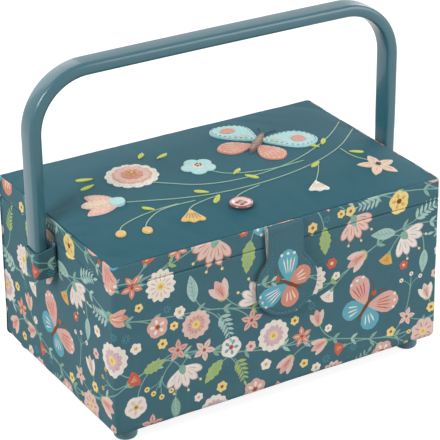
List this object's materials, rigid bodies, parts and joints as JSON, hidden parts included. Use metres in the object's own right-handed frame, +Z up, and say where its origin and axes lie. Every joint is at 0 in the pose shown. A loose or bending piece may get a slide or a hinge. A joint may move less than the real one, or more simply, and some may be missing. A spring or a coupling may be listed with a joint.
{
  "type": "sewing box",
  "caption": "Rectangular fabric-covered sewing box with a padded hinged lid, magnetic clasp tab, swinging bow handle, low feet and a compartment tray inside.",
  "frame": {"origin": "on the ground under the middle of the whole object's box", "axes": "+X to the box's right seen from the front, the front with the clasp faces -Y, +Z up"},
  "size_m": [0.2952, 0.171, 0.2444],
  "materials": {
    "print_cotton": "woven cotton printed with flowers, over thin wadding",
    "plain_cotton": "plain woven cotton",
    "greyboard": "dense board",
    "lining_cotton": "smooth lining cotton",
    "wadding": "soft foam and wadding",
    "elastic_band": "gathered elastic",
    "handle_plastic": "satin moulded plastic",
    "foot_plastic": "moulded plastic",
    "tray_plastic": "moulded plastic",
    "button_plastic": "polished",
    "steel": "plated",
    "magnet": "ground magnet"
  },
  "bodies": {
    "case": {"base_board": "greyboard", "front_board": "greyboard", "back_board": "greyboard", "left_board": "greyboard", "right_board": "greyboard", "body_cover": "print_cotton", "base_cover": "plain_cotton", "body_lining": "lining_cotton", "foot_front_left": "foot_plastic", "foot_front_right": "foot_plastic", "foot_back_left": "foot_plastic", "foot_back_right": "foot_plastic", "foot_screw_front_left": "steel", "foot_screw_front_right": "steel", "foot_screw_back_left": "steel", "foot_screw_back_right": "steel", "tray_ledge_left": "lining_cotton", "tray_ledge_right": "lining_cotton", "tray": "tray_plastic", "catch_plate": "steel", "handle_rivet_left": "steel", "handle_rivet_right": "steel", "handle_bush_left": "foot_plastic", "handle_bush_right": "foot_plastic", "hinge_tape_lower": "print_cotton"},
    "lid": {"lid_board": "greyboard", "lid_front_rail": "greyboard", "lid_back_rail": "greyboard", "lid_left_rail": "greyboard", "lid_right_rail": "greyboard", "lid_pad": "wadding", "lid_cover": "plain_cotton", "lid_rim_cover": "print_cotton", "lid_lining": "lining_cotton", "lid_pocket": "lining_cotton", "pocket_elastic": "elastic_band", "lid_button": "button_plastic", "hinge_tape_upper": "print_cotton"},
    "clasp": {"clasp_back_cover": "print_cotton", "clasp_board": "greyboard", "clasp_front_cover": "print_cotton", "clasp_magnet": "magnet"},
    "handle": {"handle_bow": "handle_plastic", "handle_sleeve_left": "print_cotton", "handle_sleeve_right": "print_cotton"}
  },
  "joints": [
    {"name": "lid_hinge", "type": "hinge", "parent": "case", "child": "lid", "pos_m": [0, 0.0844, 0.1194], "axis": [-1, 0, 0], "range_deg": [0, 105]},
    {"name": "clasp_flap", "type": "hinge", "parent": "lid", "child": "clasp", "pos_m": [0, -0.0819, 0.1353], "axis": [-1, 0, 0], "range_deg": [0, 120]},
    {"name": "handle_swing", "type": "hinge", "parent": "case", "child": "handle", "pos_m": [0, 0.0014, 0.106], "axis": [-1, 0, 0], "range_deg": [0, 95]}
  ],
  "couplings": [
    {"joint": "handle_swing", "follows": "lid_hinge", "ratio": 0.9}
  ]
}
